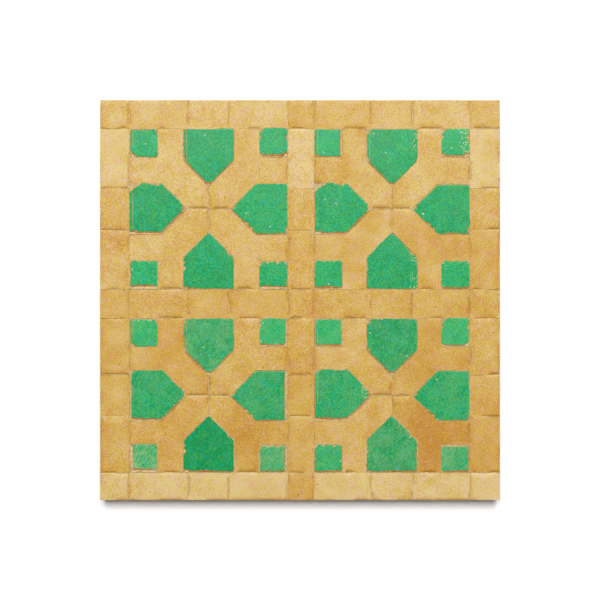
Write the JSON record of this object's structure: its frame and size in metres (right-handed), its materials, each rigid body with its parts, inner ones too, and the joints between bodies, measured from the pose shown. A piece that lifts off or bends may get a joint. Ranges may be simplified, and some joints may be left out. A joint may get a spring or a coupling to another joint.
{
  "type": "mosaic tile panel",
  "caption": "Square panel of hand-cut glazed mosaic: green squares and pointed pentagons set among ochre forks, strips and blocks in a cast mortar bed.",
  "frame": {"origin": "middle of the panel's back, where it is bedded", "axes": "+Z out of the glazed face, +Y towards the picture's top edge of the panel, +X towards its right edge"},
  "size_m": [0.3, 0.3, 0.02],
  "materials": {
    "green_glaze": "satin emerald glaze over terracotta, with hand-chipped edges",
    "ochre_glaze": "mottled sandy ochre glaze over terracotta",
    "mortar": "pale grey-beige lime and cement mortar"
  },
  "bodies": {
    "root": {"green_pentagon_ne_east": "green_glaze", "green_pentagon_ne_north": "green_glaze", "green_pentagon_ne_south": "green_glaze", "green_pentagon_ne_west": "green_glaze", "green_pentagon_nw_east": "green_glaze", "green_pentagon_nw_north": "green_glaze", "green_pentagon_nw_south": "green_glaze", "green_pentagon_nw_west": "green_glaze", "green_pentagon_se_east": "green_glaze", "green_pentagon_se_north": "green_glaze", "green_pentagon_se_south": "green_glaze", "green_pentagon_se_west": "green_glaze", "green_pentagon_sw_east": "green_glaze", "green_pentagon_sw_north": "green_glaze", "green_pentagon_sw_south": "green_glaze", "green_pentagon_sw_west": "green_glaze", "green_square_ne_ne": "green_glaze", "green_square_ne_nw": "green_glaze", "green_square_ne_se": "green_glaze", "green_square_ne_sw": "green_glaze", "green_square_nw_ne": "green_glaze", "green_square_nw_nw": "green_glaze", "green_square_nw_se": "green_glaze", "green_square_nw_sw": "green_glaze", "green_square_se_ne": "green_glaze", "green_square_se_nw": "green_glaze", "green_square_se_se": "green_glaze", "green_square_se_sw": "green_glaze", "green_square_sw_ne": "green_glaze", "green_square_sw_nw": "green_glaze", "green_square_sw_se": "green_glaze", "green_square_sw_sw": "green_glaze", "mortar_bed": "mortar", "ochre_centre_block": "ochre_glaze", "ochre_corner_blocks": "ochre_glaze", "ochre_edge_blocks": "ochre_glaze", "ochre_fork_ne_ne": "ochre_glaze", "ochre_fork_ne_nw": "ochre_glaze", "ochre_fork_ne_se": "ochre_glaze", "ochre_fork_ne_sw": "ochre_glaze", "ochre_fork_nw_ne": "ochre_glaze", "ochre_fork_nw_nw": "ochre_glaze", "ochre_fork_nw_se": "ochre_glaze", "ochre_fork_nw_sw": "ochre_glaze", "ochre_fork_se_ne": "ochre_glaze", "ochre_fork_se_nw": "ochre_glaze", "ochre_fork_se_se": "ochre_glaze", "ochre_fork_se_sw": "ochre_glaze", "ochre_fork_sw_ne": "ochre_glaze", "ochre_fork_sw_nw": "ochre_glaze", "ochre_fork_sw_se": "ochre_glaze", "ochre_fork_sw_sw": "ochre_glaze", "ochre_strips_east": "ochre_glaze", "ochre_strips_middle_column": "ochre_glaze", "ochre_strips_middle_row": "ochre_glaze", "ochre_strips_north": "ochre_glaze", "ochre_strips_south": "ochre_glaze", "ochre_strips_west": "ochre_glaze"}
  },
  "joints": []
}
